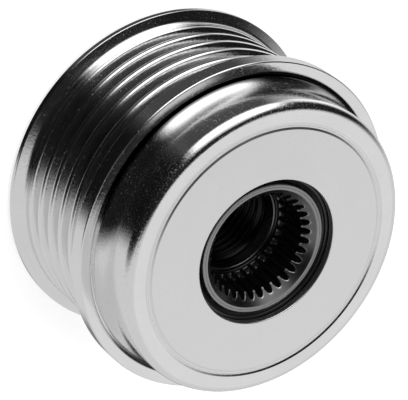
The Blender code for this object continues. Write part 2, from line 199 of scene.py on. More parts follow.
# The socket runs from the front face down its chamfer and along the teeth to the floor.
edge = np.linspace(0, pi / 2, 5)
front_lip = np.stack([
    chamfer + socket_lip * (1 - np.sin(edge / 2)),
    hub_front - socket_lip * (1 - np.cos(edge / 2)),
], 1)
floor_edge = np.stack([
    spline_tip - socket_rounding * (1 - np.cos(edge)),
    socket_floor + socket_rounding * (1 - np.sin(edge)),
], 1)
slope = np.linspace(0, 1, 22)[1:, None]
cone = front_lip[-1] + slope * (np.array([spline_tip, chamfer_foot]) - front_lip[-1])
runout_start = spline_end + spline_runout
wall = np.concatenate([
    np.linspace(chamfer_foot, runout_start, 12)[1:],
    np.linspace(runout_start, spline_end - socket_rounding, 10)[1:],
])
wall = np.stack([np.full(len(wall), spline_tip), wall], 1)
socket = np.concatenate([
    [[chamfer + 0.2, hub_front]],
    front_lip,
    cone,
    wall,
    floor_edge,
    [[floor_inside, socket_floor]],
])
angle = np.arange(socket_columns) * 2 * pi / socket_columns
opening = np.sin(np.clip((socket[:, 1:] - spline_end) / spline_runout, 0, 1) * pi / 2)
space = spline_tip + (spline_root - spline_tip) * spline_space(angle) * opening
socket_radius = np.maximum(socket[:, :1], np.where(opening > 0, space, 0))
socket_points = round_axis(socket_radius, socket[:, 1], socket_columns)

# A smooth relief under the socket's floor, then the thread with a cone at each end, down to the
# pilot bore.
thread_rows = 237
height = np.linspace(socket_floor, pilot_depth, thread_rows)
angle = np.arange(shaft_columns) * 2 * pi / shaft_columns
thread = thread_radius(angle, height[:, None])
front_cone = np.minimum(thread_minor + (height - thread_front), relief_radius)
rear_cone = pilot_radius - (height - pilot_depth)
thread = np.maximum(thread, np.maximum(front_cone, rear_cone)[:, None])
thread_points = round_axis(thread, height, shaft_columns)

# The pilot bore, the rear end, the bearing seats and the outer part of the front face.
outside = rounded([
    (pilot_radius, pilot_depth - 0.1, 0),
    (pilot_radius, 0.0, 0.35),
    (hub_land, 0.0, 0.3),
    (hub_land, seat_rear, 0.1),
    (hub_seat, seat_rear, 0.1),
    (hub_seat, seat_front, 0.1),
    (hub_land, seat_front, 0.1),
    (hub_land, hub_front, 0.18),
    (ring_line + ring_line_half, hub_front, 0.02),
    (ring_line, hub_front - 0.03, 0.01),
    (ring_line - ring_line_half, hub_front, 0.02),
    (chamfer + 0.3, hub_front, 0),
], 5)
outside_points = round_axis(outside[:, :1], outside[:, 1], shaft_columns)

shaft_points = np.concatenate([thread_points, outside_points])
shaft_index = np.arange(len(shaft_points) * shaft_columns).reshape(len(shaft_points), shaft_columns)
socket_index = shaft_index.size + np.arange(socket_radius.size).reshape(socket_radius.shape)
hub_points = np.concatenate([shaft_points.reshape(-1, 3), socket_points.reshape(-1, 3)])
hub_faces = [
    *grid_faces(shaft_index)[:, ::-1],
    *grid_faces(socket_index)[:, ::-1],
    *fan_ring(shaft_index[0], socket_index[-1]),
    *fan_ring(shaft_index[-1], socket_index[0])[:, ::-1],
]

# Oil and painted shade darken the bore by depth: darkest in the thread, lighter over the teeth,
# and the front face keeps the steel's own tone. The painted shade is lifted off the relief's
# wall, and painted glints light the edges of the teeth.
hub_reach = np.linalg.norm(hub_points[:, :2], axis=1)
hub_oil_shade_glint = np.interp(
    hub_reach,
    (floor_inside, spline_tip, chamfer - 0.05, chamfer + 0.05),
    (1.0, 0.6, 0.55, 0.12),
)
relief_foot = thread_front + relief_radius - thread_minor + 0.1
relief_rise = 0.3
in_relief = np.clip((hub_points[:, 2] - relief_foot) / relief_rise, 0, 1)
hub_oil_shade_glint -= 0.8 * in_relief * (hub_reach < floor_inside - 0.1)
# Painted glints: along each tooth's edge on the chamfer the level falls to 0, the brightest stop.
glint_width = 0.18
painted_tooth_glint = np.exp(-(((space - socket[:, :1]) / glint_width) ** 2))
painted_tooth_glint = painted_tooth_glint * (socket[:, 1:] > chamfer_foot)
hub_oil_shade_glint[shaft_index.size:] *= 1 - painted_tooth_glint.ravel()
hub = make_piece("turned_hub", hub_points, hub_faces, oil=hub_oil_shade_glint)


class Shade:
    """A value in a material: one output socket, whose arithmetic adds Math nodes."""

    def __init__(self, tree, socket=None):
        self.tree = tree
        self.socket = socket

    def node(self, kind, settings, values, output=0):
        """Add a node of any kind: its settings first, then the values or links of its sockets."""
        made = self.tree.nodes.new(kind)
        for name, value in settings.items():
            if name == "stops":
                made.color_ramp.elements[1].position = value[-1][0]
                for position, _ in value[1:-1]:
                    made.color_ramp.elements.new(position)
                for stop, (position, grey) in zip(made.color_ramp.elements, value):
                    stop.position = position
                    stop.color = (grey, grey, grey, 1.0)
            else:
                setattr(made, name, value)
        for name, value in values.items():
            if isinstance(value, Shade):
                self.tree.links.new(value.socket, made.inputs[name])
            else:
                made.inputs[name].default_value = value
        return Shade(self.tree, made.outputs[output])

    def maths(self, operation, *values):
        """Add a Math node that does this operation on the values."""
        return self.node("ShaderNodeMath", {"operation": operation}, dict(enumerate(values)))

    def __add__(self, other):
        return self.maths("ADD", self, other)

    def __sub__(self, other):
        return self.maths("SUBTRACT", self, other)

    def __rsub__(self, other):
        return self.maths("SUBTRACT", other, self)

    def __mul__(self, other):
        return self.maths("MULTIPLY", self, other)

    def __truediv__(self, other):
        return self.maths("DIVIDE", self, other)

    def __rtruediv__(self, other):
        return self.maths("DIVIDE", other, self)

    __radd__ = __add__
    __rmul__ = __mul__


def start_finish(name):
    """A new material, its shader node and a value to start arithmetic from."""
    material = bpy.data.materials.new(name)
    material.use_nodes = True
    tree = material.node_tree
    return material, tree.nodes["Principled BSDF"], Shade(tree)


fleck_width = 0.3


def metal(name, tone, roughness, line_width, line_depth, grain_width, grain_depth, mottle, flecks=0.0):
    """Turned metal: lines that circle the axis, a fine grain all over and a cloudy tone.

    Widths and depths are in millimetres. The lines are noise over radius and height alone,
    shifted a little by direction so that they wander and fade. The tone is one grey, or
    stops of grey over the piece's level of oil and painted shade. Flecks are small specks, as
    much rougher as that number, and they lie thicker where the piece's wear is high.
    """
    material, shader, start = start_finish(name)
    place = start.node("ShaderNodeTexCoord", {}, {}, "Object")
    x = start.node("ShaderNodeSeparateXYZ", {}, {"Vector": place}, "X")
    y = start.node("ShaderNodeSeparateXYZ", {}, {"Vector": place}, "Y")
    z = start.node("ShaderNodeSeparateXYZ", {}, {"Vector": place}, "Z")
    squared = x * x + y * y
    radius = squared.maths("SQRT", squared)
    per_line = 1 / (line_width * mm)
    per_grain = 1 / (grain_width * mm)
    per_fleck = 1 / (fleck_width * mm)
    across_lines = {"X": radius * per_line + x / radius, "Y": z * per_line + y / radius}
    along = start.node("ShaderNodeCombineXYZ", {}, across_lines)
    lines = start.node("ShaderNodeTexNoise", {}, {"Vector": along, "Scale": 1.0, "Detail": 3.0})
    grain = start.node("ShaderNodeTexNoise", {}, {"Vector": place, "Scale": per_grain, "Detail": 2.0})
    cloud = start.node("ShaderNodeTexNoise", {}, {"Vector": place, "Scale": 0.16 / mm, "Detail": 4.0})
    shade = 1 + (cloud - 0.5) * mottle + (lines - 0.5) * (mottle * 0.6)
    if isinstance(tone, list):
        oil = start.node("ShaderNodeAttribute", {"attribute_name": "oil"}, {}, "Fac")
        tone = start.node("ShaderNodeValToRGB", {"stops": tone}, {"Fac": oil}, "Color")
    else:
        tone = (tone, tone, tone, 1.0)
    colour = start.node(
        "ShaderNodeMix",
        {"data_type": "RGBA", "blend_type": "MULTIPLY"},
        {"Factor": 1.0, "A": tone, "B": shade},
        2,
    )
    rough = roughness + (cloud - 0.5) * (roughness * 0.5) + (lines - 0.5) * (roughness * 0.4)
    wear = start.node("ShaderNodeAttribute", {"attribute_name": "wear"}, {}, "Fac")
    speck = start.node("ShaderNodeTexNoise", {}, {"Vector": place, "Scale": per_fleck, "Detail": 1.0})
    worn = speck + wear * 0.1 + (cloud - 0.5) * 0.25
    fleck_range = {"Value": worn, "From Min": 0.62, "From Max": 0.82, "To Max": flecks}
    rough = rough + start.node("ShaderNodeMapRange", {}, fleck_range)
    height = lines * line_depth + grain * grain_depth
    bump = start.node("ShaderNodeBump", {}, {"Strength": 1.0, "Distance": mm, "Height": height})
    tree = material.node_tree
    shader.inputs["Metallic"].default_value = 1.0
    tree.links.new(colour.socket, shader.inputs["Base Color"])
    tree.links.new(rough.socket, shader.inputs["Roughness"])
    tree.links.new(bump.socket, shader.inputs["Normal"])
    return material


# Hub stops: 0.8 is a painted glint, 0.29 the front face's own steel, and the darker stops are oil and
# painted shade in the bore.
hub_tones_shade_glint = [(0.0, 0.8), (0.12, 0.29), (0.5, 0.16), (0.6, 0.13), (1.0, 0.02)]
oiled_steel_shaded = metal(
    "oiled_steel_shaded",
    hub_tones_shade_glint,
    roughness=0.28,
    line_width=0.3,
    line_depth=0.001,
    grain_width=0.3,
    grain_depth=0.003,
    mottle=0.5,
)
hub.data.materials.append(oiled_steel_shaded)
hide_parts("hub")
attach(hub, "hub")

# Rim. One steel blank, turned all over: rear flange, ribbed belt track, front flange with
# the narrow slot for a dust cap, and the nose. It is zinc plated bright after turning.
rim_low, rim_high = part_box("rim")
flange_radius = rim_high.x / mm
rim_rear = rim_low.z / mm
rim_front = rim_high.z / mm
rim_bore = 20.3
rib_top = 28.2
rib_pitch = 3.56
groove_count = 5
groove_mouth = 2.65
groove_depth = 2.4
groove_slope = radians(20)
rib_rounding = 0.5
groove_rounding = 0.22
flange_slope = radians(20)
flange_rise = (flange_radius - rib_top) * tan(flange_slope)
rear_land = 1.06
rear_fillet = 0.9
rear_shelf = 3.07
front_shelf = 2.41
front_land = 2.85
first_groove = rim_rear + rear_land + flange_rise + rear_shelf
last_groove = first_groove + (groove_count - 1) * rib_pitch
front_cone = last_groove + front_shelf
flange_front = front_cone + flange_rise + front_land
nose_radius = 26.85
nose_rounding = 1.5
nose_flare = 0.85
flare_length = 3.8
slot_lip = flange_front + 0.2
slot_taper = 0.12
slot_width = 0.5
slot_depth = 1.0
slot_inside = nose_radius + nose_flare - slot_taper
slot_outside = slot_inside + slot_width
slot_floor = flange_front - slot_depth
slot_rounding = 0.24
slot_edge = 0.58
plate_pocket = 22.85
plate_shoulder = 33.75
seam_outside = 23.36
seam_inside = 22.16
seam_slope = 0.36
seam_depth = 0.16
edge_break = 0.12


def rim_corners():
    """Corners from the nose's front down its outer side, along the ribs and back up the bore.

    The nose flares out towards its foot by the square of the way down.
    """
    down = np.linspace(0, 1, 25)[:-1]
    flare = [(nose_radius + nose_flare * s * s, slot_lip + flare_length * (1 - s), 0) for s in down]
    corners = [
        (nose_radius, rim_front, nose_rounding),
        *flare,
        (nose_radius + nose_flare, slot_lip, 0.08),
        (slot_inside, slot_floor, slot_rounding),
        (slot_outside, slot_floor, slot_rounding),
        (slot_outside, flange_front, slot_edge),
        (flange_radius, flange_front, 0.25),
        (flange_radius, front_cone + flange_rise, edge_break),
        (rib_top, front_cone, 0.25),
    ]
    mouth = groove_mouth / 2
    root = mouth - groove_depth * tan(groove_slope)
    for groove in reversed(range(groove_count)):
        centre = first_groove + groove * rib_pitch
        corners += [
            (rib_top, centre + mouth, rib_rounding),
            (rib_top - groove_depth, centre + root, groove_rounding),
            (rib_top - groove_depth, centre - root, groove_rounding),
            (rib_top, centre - mouth, rib_rounding),
        ]
    return corners + [
        (rib_top, rim_rear + rear_land + flange_rise, rear_fillet),
        (flange_radius, rim_rear + rear_land, edge_break),
        (flange_radius, rim_rear, 0.2),
        (rim_bore, rim_rear, 0.4),
        (rim_bore, plate_shoulder, 0.1),
        (plate_pocket, plate_shoulder, 0.1),
        (plate_pocket, rim_front - seam_depth, 0.02),
        (seam_outside - seam_slope, rim_front - seam_depth, 0.1),
        (seam_outside, rim_front, 0.1),
    ]


rim_outline = rounded(rim_corners(), 6)
radius, height = rim_outline.T
rim_columns = 240
turn = np.arange(rim_columns) * 360 / rim_columns

# Painted shade, by degrees round the rim: heavy on one side, and nearly gone over one stretch.
# It darkens the slot, the grooves by their depth and the nose's foot up to its reach.
painted_shade_round = np.interp(
    turn,
    (0, 150, 184, 280, 300, 342, 356, 360),
    (0.55, 0.6, 1, 1, 0.03, 0.03, 0.4, 0.55),
)
foot_reach = np.interp(
    turn,
    (150, 180, 190, 212, 228, 290, 300, 345, 360),
    (0.5, 0.3, 1.5, 1.4, 0.6, 0.6, 0.1, 0.1, 0.4),
)
plain_plating_level = 0.1
wall_skin = 0.1
in_track = (height > rim_rear + rear_land) & (height < front_cone)
in_track &= radius > rib_top - groove_depth - wall_skin
in_slot = (height > front_cone) & (height < flange_front)
in_slot &= (radius > slot_inside - wall_skin) & (radius < slot_outside + wall_skin)
inner_wall = radius < slot_inside + 0.2
on_foot = inner_wall & (height > slot_floor + wall_skin) & (radius > nose_radius - wall_skin)
groove_deepness = np.clip((rib_top - wall_skin - radius) / (groove_depth / 2), 0, 1)
groove_shade = np.where(in_track, 0.4 * groove_deepness, 0)
slot_ramp = np.where(inner_wall, 0.3, 0.7)
slot_deepness = np.clip((flange_front - height) / slot_ramp, 0, 1)
slot_shade = np.where(in_slot, slot_deepness, 0)[:, None] * (painted_shade_round - plain_plating_level)
foot_shade = np.clip(1.15 - (height[:, None] - slot_lip) / foot_reach, 0, 0.9)
foot_shade *= np.clip(foot_reach / 0.2 - 0.5, 0, 1)
rim_tone_shade = plain_plating_level + groove_shade[:, None] * (0.15 + 0.85 * painted_shade_round) + slot_shade
rim_tone_shade = np.where(on_foot[:, None], np.maximum(rim_tone_shade, foot_shade), rim_tone_shade)

# Handling wears small specks into the plating on the nose's rounding.
nose_worn = (height > flange_front) & (radius > nose_radius - nose_rounding - 0.6)
wear_rows = rim_front - np.array((2.5, 1.2, 0.1, 0.0))
rim_wear = np.where(nose_worn, np.interp(height, wear_rows, (0.1, 1, 1, 0.3)), 0)
rim = turned("turned_rim", rim_outline, rim_columns, rim_tone_shade, rim_wear)
# Plating stops: 0.82 is the plating's own tone; higher levels are painted shade, and a lower one
# lightens the slot where the painted shade is nearly gone.
plating_tones_shade = [(0.0, 0.94), (0.1, 0.82), (0.5, 0.42), (1.0, 0.03)]
bright_plating = metal(
    "bright_plating",
    plating_tones_shade,
    roughness=0.13,
    line_width=0.3,
    line_depth=0.0012,
    grain_width=0.4,
    grain_depth=0.01,
    mottle=0.12,
    flecks=0.2,
)
rim.data.materials.append(bright_plating)
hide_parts("rim")
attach(rim, "rim")

# Front and rear seals. Each is black rubber moulded onto a thin case that is pressed into
# the rim's bore, with a lip that runs on the hub and a small ridge outside it against dirt.
seal_outside = 20.0
seal_case = 18.4
seal_height = 1.9
seal_web = 0.9
lip_root = 12.9
lip_edge = hub_land + 0.12
lip_height = 0.45
ridge_height = 0.15


def moulded(name, colour, roughness, grain_depth):
    """A moulded rubber or plastic: a fine grain, with dust that changes its tone and gloss."""
    material, shader, start = start_finish(name)
    place = start.node("ShaderNodeTexCoord", {}, {}, "Object")
    grain = start.node("ShaderNodeTexNoise", {}, {"Vector": place, "Scale": 9 / mm, "Detail": 3.0})
    dust = start.node("ShaderNodeTexNoise", {}, {"Vector": place, "Scale": 0.5 / mm, "Detail": 5.0})
    tone = start.node(
        "ShaderNodeMix",
        {"data_type": "RGBA", "blend_type": "MULTIPLY"},
        {"Factor": 1.0, "A": (*colour, 1.0), "B": dust * 0.4 + 0.8},
        2,
    )
    rough = dust * (roughness * 0.6) + roughness * 0.7
    height = grain * grain_depth
    bump = start.node("ShaderNodeBump", {}, {"Strength": 1.0, "Distance": mm, "Height": height})
    tree = material.node_tree
    tree.links.new(tone.socket, shader.inputs["Base Color"])
    tree.links.new(rough.socket, shader.inputs["Roughness"])
    tree.links.new(bump.socket, shader.inputs["Normal"])
    return material


rubber = moulded("black_rubber", (0.012, 0.012, 0.013), roughness=0.22, grain_depth=0.0015)


def seal_outline():
    """The front seal's section: the case, the thin web, the ridge and the lip beside the hub."""
    web = seal_height - seal_web
    return rounded([
        (seal_outside, seal_height, 0.15),
        (seal_outside, 0.0, 0.15),
        (seal_case, 0.0, 0.15),
        (seal_case, web, 0.2),
        (lip_root, web, 0.1),
        (lip_edge, web - lip_height, 0.05),
        (lip_edge, web - 0.1, 0.06),
        (lip_root - 0.25, seal_height - lip_height, 0.15),
        (lip_root - 0.2, seal_height, 0.1),
        (lip_root + 0.25, seal_height, 0.1),
        (lip_root + 0.35, seal_height - ridge_height, 0.1),
        (seal_case, seal_height - ridge_height, 0.1),
        (seal_case + 0.15, seal_height, 0.1),
    ], 4)


for end, base, facing in (("front", 31.85, 1), ("rear", 1.75, -1)):
    section = seal_outline()
    if facing < 0:
        section = (section * (1, -1) + (0, seal_height))[::-1]
    seal = turned(f"{end}_lip_seal", section + (0, base), 160)
    seal.data.materials.append(rubber)
    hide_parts(f"{end}_seal")
    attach(seal, "rim")

# Cover plate. A disc blanked from steel sheet, plated like the rim and pressed into the nose
# until it is flush; its punched hole leaves the hub and the front seal free.
plate_low, plate_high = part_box("cover_plate")
plate_back = plate_low.z / mm
plate_front = plate_high.z / mm
plate_hole = 13.2
plate_edge = plate_pocket - 0.01
plate = turned("pressed_cover_plate", rounded([
    (seam_inside, plate_front, 0.3),
    (seam_inside + seam_slope, plate_front - seam_depth, 0.1),
    (plate_edge, plate_front - seam_depth, 0.02),
    (plate_edge, plate_back, 0.1),
    (plate_hole, plate_back, 0.08),
    (plate_hole, plate_front, 0.16),
], 8), rim_columns)
satin_plating = metal(
    "satin_plating",
    0.8,
    roughness=0.3,
    line_width=0.4,
    line_depth=0.0002,
    grain_width=0.3,
    grain_depth=0.0006,
    mottle=0.05,
)
plate.data.materials.append(satin_plating)
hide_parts("cover_plate")
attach(plate, "rim")

# Ball bearings. At each end of the hub two ground rings of bearing steel hold seven balls, which
# a nylon crown spaces. The inner rings are pressed onto the hub and the outer ones into the rim.
ball_radius = 2.2
ball_count = 7
ball_circle = 16.3
pocket_radius = 2.45
cage_half = 1.0
cage_mouth = 1.6
cage_back = 3.3
race_bore = 12.6
race_outside = 20.0
race_groove = 2.5
race_gap = 1.3
groove_edge = asin(race_gap / race_groove)


def race_outline(side, low, high):
    """Section of an inner race (side -1) or an outer race (side 1).

    It is a ring with an arc cut in it: r is the ball circle plus or minus the groove's radius
    times the sine of the turn, and z is the middle plus or minus that radius times its cosine.
    """
    shoulder = ball_circle + side * race_gap
    back = race_outside if side > 0 else race_bore
    turn = np.linspace(groove_edge, pi - groove_edge, 17)
    arc_r = ball_circle + side * race_groove * np.sin(turn)
    arc_z = (low + high) / 2 - side * race_groove * np.cos(turn)
    groove = [(r, z, 0) for r, z in zip(arc_r, arc_z)]
    if side > 0:
        face = [(shoulder, low, 0.3), *groove, (shoulder, high, 0.3)]
        return rounded([(back, high, 0.5), (back, low, 0.5), *face])
    face = [(shoulder, high, 0.3), *groove, (shoulder, low, 0.3)]
    return rounded([*face, (back, low, 0.5), (back, high, 0.5)])


def rounded_solid(name, outline, centre):
    """An outline (r, z), from top to bottom, carried round the upright line through a centre."""
    columns = 40
    rings = round_axis(outline[:, :1], outline[:, 1], columns).reshape(-1, 3)
    index = np.arange(len(rings)).reshape(-1, columns)
    poles = [(0, 0, outline[0, 1]), (0, 0, outline[-1, 1])]
    top = np.full(columns, len(rings))
    first, last = index[0], index[-1]
    top_fan = np.stack([top, first, np.roll(first, -1)], -1)
    bottom_fan = np.stack([top + 1, np.roll(last, -1), last], -1)
    points = np.concatenate([rings, poles]) + centre
    return make_piece(name, points, [*grid_faces(index), *top_fan, *bottom_fan])


def centre_of(node):
    """The middle of a node's box at rest, in millimetres."""
    low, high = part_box(node)
    return np.array((low + high) / 2) / mm


def crown_cage(name, middle, facing):
    """A ring with a round pocket for each ball, whose mouth closes a little over the ball.

    Its two flat sides are lines that fan out from the plain edge to the pocketed edge. A pocket
    is part of a sphere, so its radius at r is sqrt(pocket^2 - (r - ball circle)^2).
    """
    step = pi * ball_circle / ball_count
    fan = step - 0.5
    circle_share = np.linspace(-1, 1, 33)
    plain = np.concatenate([
        np.linspace(-step, -fan, 9)[:-1],
        circle_share * fan,
        np.linspace(fan, step, 9)[1:-1],
    ])

    def pocketed(radius):
        """Places along the pocketed edge and their heights over the balls' middle, at a radius."""
        round_pocket = np.sqrt(pocket_radius**2 - (radius - ball_circle) ** 2)
        close = asin(cage_mouth / round_pocket)
        turn = 1.5 * pi + circle_share * (pi / 2 + close)
        lip = round_pocket * cos(close)
        across = np.concatenate([
            np.linspace(-step, -lip, 9)[:-1],
            round_pocket * np.cos(turn),
            np.linspace(lip, step, 9)[1:-1],
        ])
        level = np.full(7, cage_mouth)
        return across, np.concatenate([level, [cage_mouth], round_pocket * np.sin(turn), level])

    inside = ball_circle - cage_half
    outside = ball_circle + cage_half
    rows = [(outside, share) for share in np.linspace(0, 1, 6)]
    rows += [(radius, 1) for radius in np.linspace(outside, inside, 7)[1:-1]]
    rows += [(inside, share) for share in np.linspace(1, 0, 6)]
    ring = []
    for radius, share in rows:
        across, level = pocketed(radius)
        across = plain + (across - plain) * share
        level = (level + cage_back) * share - cage_back
        angle = across / ball_circle + np.arange(ball_count)[:, None] * 2 * pi / ball_count
        angle = angle.ravel()
        height = np.tile(middle + facing * level, ball_count)
        ring.append(np.stack([radius * np.cos(angle), radius * np.sin(angle), height], -1))
    index = np.arange(len(rows) * len(height)).reshape(len(rows), -1)
    faces = grid_faces(np.vstack([index, index[:1]]))
    return make_piece(name, np.concatenate(ring), faces[:, ::-facing], 50)


ground_steel = metal(
    "ground_steel",
    0.62,
    roughness=0.14,
    line_width=0.12,
    line_depth=0.0004,
    grain_width=0.3,
    grain_depth=0.0004,
    mottle=0.08,
)
polished_steel = metal(
    "polished_steel",
    0.68,
    roughness=0.05,
    line_width=0.5,
    line_depth=0.0,
    grain_width=0.5,
    grain_depth=0.0002,
    mottle=0.05,
)
natural_nylon = moulded("natural_nylon", (0.62, 0.58, 0.49), roughness=0.4, grain_depth=0.001)

# A ball's outline stops a few degrees short of each pole, and a fan of faces closes it.
pole_gap = 4
turn = np.radians(np.linspace(90 - pole_gap, pole_gap - 90, 25))
ball_outline = ball_radius * np.stack([np.cos(turn), np.sin(turn)], -1)
for end, facing in (("front", 1), ("rear", -1)):
    for ring, side, body in (("inner", -1, "hub"), ("outer", 1, "rim")):
        node = f"{end}_{ring}_race"
        low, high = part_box(node)
        race = turned(f"ground_{node}", race_outline(side, low.z / mm, high.z / mm), 120)
        race.data.materials.append(ground_steel)
        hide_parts(node)
        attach(race, body)
    for node in [f"{end}_ball_{number}" for number in range(1, ball_count + 1)]:
        ball = rounded_solid(f"polished_{node}", ball_outline, centre_of(node))
        ball.data.materials.append(polished_steel)
        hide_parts(node)
        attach(ball, node)
    cage = crown_cage(f"moulded_{end}_ball_cage", centre_of(f"{end}_ball_1")[2], facing)
    cage.data.materials.append(natural_nylon)
    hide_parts(f"{end}_ball_cage")
    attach(cage, f"{end}_balls")

# One-way clutch. Eight rollers stand between a hardened ring with eight ramps on the hub and a
# drawn cup in the rim. Folded springs push them up the ramps, and a black nylon cage spaces them.
cup_low, cup_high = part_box("clutch_cup")
cup_bottom = cup_low.z / mm
cup_top = cup_high.z / mm
cup_bore = 18.2
cup_lip = 0.8
cup_lip_edge = 16.2
roller_count = 8
roller_radius = 1.75
roller_circle = 16.15
ramp_ring_outside = 15.4
ramp_tilt = radians(6)
ramp_stop = roller_radius + 0.3
ramp_depth = roller_circle * cos(ramp_tilt) - ramp_stop
ramp_start = atan2(roller_circle * sin(ramp_tilt) - ramp_stop, ramp_depth)
cup = turned("drawn_clutch_cup", rounded([
    (race_outside, cup_top, 0.6),
    (race_outside, cup_bottom, 0.6),
    (cup_lip_edge, cup_bottom, 0.2),
    (cup_lip_edge, cup_bottom + cup_lip, 0.2),
    (cup_bore, cup_bottom + cup_lip, 0.3),
    (cup_bore, cup_top - cup_lip, 0.3),
    (cup_lip_edge, cup_top - cup_lip, 0.2),
    (cup_lip_edge, cup_top, 0.2),
]), 120)
hardened_steel = metal(
    "hardened_steel",
    0.5,
    roughness=0.2,
    line_width=0.15,
    line_depth=0.0006,
    grain_width=0.3,
    grain_depth=0.001,
    mottle=0.2,
)
cup.data.materials.append(hardened_steel)
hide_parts("clutch_cup")
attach(cup, "rim")

# The ramp ring's outside is a circle cut by a flat for each roller: its radius is the flat's
# depth / cos(angle from the flat's foot), where that is less than the circle's.
sector = 2 * pi / roller_count
across = np.linspace(ramp_start, ramp_start + sector - 0.02, 24)
across = np.concatenate([[ramp_start - 1e-4], across])
flat = np.minimum(ramp_ring_outside, ramp_depth / np.cos(across))
flat = np.where(across < ramp_start, ramp_ring_outside, flat)
angle = (np.arange(roller_count)[:, None] * sector + across - ramp_tilt).ravel()
outer = np.tile(flat, roller_count)
ramp_bevel = 0.25
inner = np.full(angle.size, race_bore)
outer_rows = [outer - ramp_bevel, outer, outer, outer - ramp_bevel]
inner_rows = [inner + ramp_bevel, inner, inner, inner + ramp_bevel]
radius = np.stack(outer_rows + inner_rows)
height = np.array([cup_top, cup_top - ramp_bevel, cup_bottom + ramp_bevel, cup_bottom])
height = np.concatenate([height, height[::-1]])
level = np.broadcast_to(height[:, None], radius.shape)
ring_points = np.stack([radius * np.cos(angle), radius * np.sin(angle), level], -1).reshape(-1, 3)
index = np.arange(radius.size).reshape(radius.shape)
ring_faces = grid_faces(np.vstack([index, index[:1]]))
ramp_ring = make_piece("hardened_ramp_ring", ring_points, ring_faces, 30)
ramp_ring.data.materials.append(hardened_steel)
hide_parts("ramp_ring")
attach(ramp_ring, "hub")

roller_low, roller_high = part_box("roller_1")
roller_half = (roller_high.z - roller_low.z) / 2 / mm
roller_rounding = 0.3
corner_radius = roller_radius - roller_rounding
turn = np.linspace(pi / 2, 0, 6)
corner = roller_rounding * np.stack([np.cos(turn), np.sin(turn)], -1)
corner += (corner_radius, roller_half - roller_rounding)
upper = np.vstack([[(corner_radius - 0.05, roller_half)], corner])
roller_outline = np.vstack([upper, (upper * (1, -1))[::-1]])
spring_strip = metal(
    "spring_strip",
    0.55,
    roughness=0.2,
    line_width=0.3,
    line_depth=0.0,
    grain_width=0.3,
    grain_depth=0.0006,
    mottle=0.15,
)
for number in range(1, roller_count + 1):
    node = f"roller_{number}"
    roller = rounded_solid(f"polished_{node}", roller_outline, centre_of(node))
    roller.data.materials.append(polished_steel)
    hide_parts(node)
    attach(roller, node)
    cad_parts[f"roller_spring_{number}"].material_slots[0].material = spring_strip

# The roller cage is a ring, open at a window for each roller and its spring. A window's sides
# are flat and keep their distance from the roller's middle: their angle at r is asin(side / r).
# It is a grid of four rows on the outer skin and four on the inner one, walled at the windows.
cage_low, cage_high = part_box("clutch_cage")
cage_bottom = cage_low.z / mm
cage_top = cage_high.z / mm
cage_skin = np.array([17.9, 15.7])[:, None]
window_steps = 6
bar_steps = 8
window_sides = np.arcsin(np.array([-2.05, 4.35]) / cage_skin)
window_end = 0.9
window = np.linspace(window_sides[:, 0], window_sides[:, 1], window_steps + 1)[:-1].T
bar = np.linspace(window_sides[:, 1], window_sides[:, 0] + sector, bar_steps + 1)[:-1].T
angle = np.concatenate([window, bar], 1)[:, None] + np.arange(roller_count)[:, None] * sector
angle = angle.reshape(2, 1, -1)
height = np.array([cage_bottom, cage_bottom + window_end, cage_top - window_end, cage_top])
ring_points = np.stack(np.broadcast_arrays(
    cage_skin[:, None] * np.cos(angle),
    cage_skin[:, None] * np.sin(angle),
    height[:, None],
), -1)
index = np.arange(ring_points[..., 0].size).reshape(ring_points.shape[:3])
beside = np.roll(index, -1, 2)
walls = np.stack([index[:, :-1], beside[:, :-1], beside[:, 1:], index[:, 1:]], -1)
flats = np.stack([index[1], index[0], beside[0], beside[1]], -1)
in_window = np.arange(index.shape[2]) % (window_steps + bar_steps) < window_steps
solid = np.ones(walls.shape[1:3], bool)
solid[1] = ~in_window
jamb = np.stack([index[1, 1], index[1, 2], index[0, 2], index[0, 1]], -1)
first_side = jamb[:: window_steps + bar_steps]
last_side = jamb[window_steps :: window_steps + bar_steps]
cage_faces = [
    *walls[0][solid],
    *walls[1][solid][:, ::-1],
    *flats[3],
    *flats[0][:, ::-1],
    *flats[1][in_window],
    *flats[2][in_window][:, ::-1],
    *first_side,
    *last_side[:, ::-1],
]
roller_cage = make_piece("moulded_clutch_cage", ring_points.reshape(-1, 3), cage_faces)
soft_edges = roller_cage.modifiers.new("soft_edges", "BEVEL")
soft_edges.width = 0.2 * mm
soft_edges.segments = 2
soft_edges.limit_method = "ANGLE"
soft_edges.angle_limit = radians(50)
soft_edges.harden_normals = True
black_nylon = moulded("black_nylon", (0.03, 0.03, 0.032), roughness=0.45, grain_depth=0.001)
roller_cage.data.materials.append(black_nylon)
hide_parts("clutch_cage")
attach(roller_cage, "hub")

# Floor. A wide white table. To the camera it glows a little, so that it reads as paper white
# and still takes the pulley's shadow; the bright metal sees through it to the studio.
table_half = 3.0


def seen_plainly(start):
    """1 where a ray from the camera, a gloss or a glass looks, and 0 for light that falls."""
    ray = "ShaderNodeLightPath"
    looked_at = start.node(ray, {}, {}, "Is Camera Ray") + start.node(ray, {}, {}, "Is Glossy Ray")
    return looked_at.maths("MAXIMUM", looked_at, start.node(ray, {}, {}, "Is Transmission Ray"))


floor_mesh = bpy.data.meshes.new("white_table")
floor_corner = np.array([(-1, -1), (1, -1), (1, 1), (-1, 1)]) * table_half
floor_mesh.from_pydata(np.hstack([floor_corner, np.zeros((4, 1))]).tolist(), [], [(0, 1, 2, 3)])
white_table = bpy.data.objects.new("white_table", floor_mesh)
bpy.context.scene.collection.objects.link(white_table)
white_table.visible_glossy = False
paper, paper_shader, start = start_finish("white_paper")
paper_shader.inputs["Base Color"].default_value = (0.4, 0.4, 0.4, 1.0)
paper_shader.inputs["Roughness"].default_value = 0.9
paper_shader.inputs["Emission Strength"].default_value = 1.0
paper_glow = seen_plainly(start) * 0.72
paper.node_tree.links.new(paper_glow.socket, paper_shader.inputs["Emission Color"])
white_table.data.materials.append(paper)

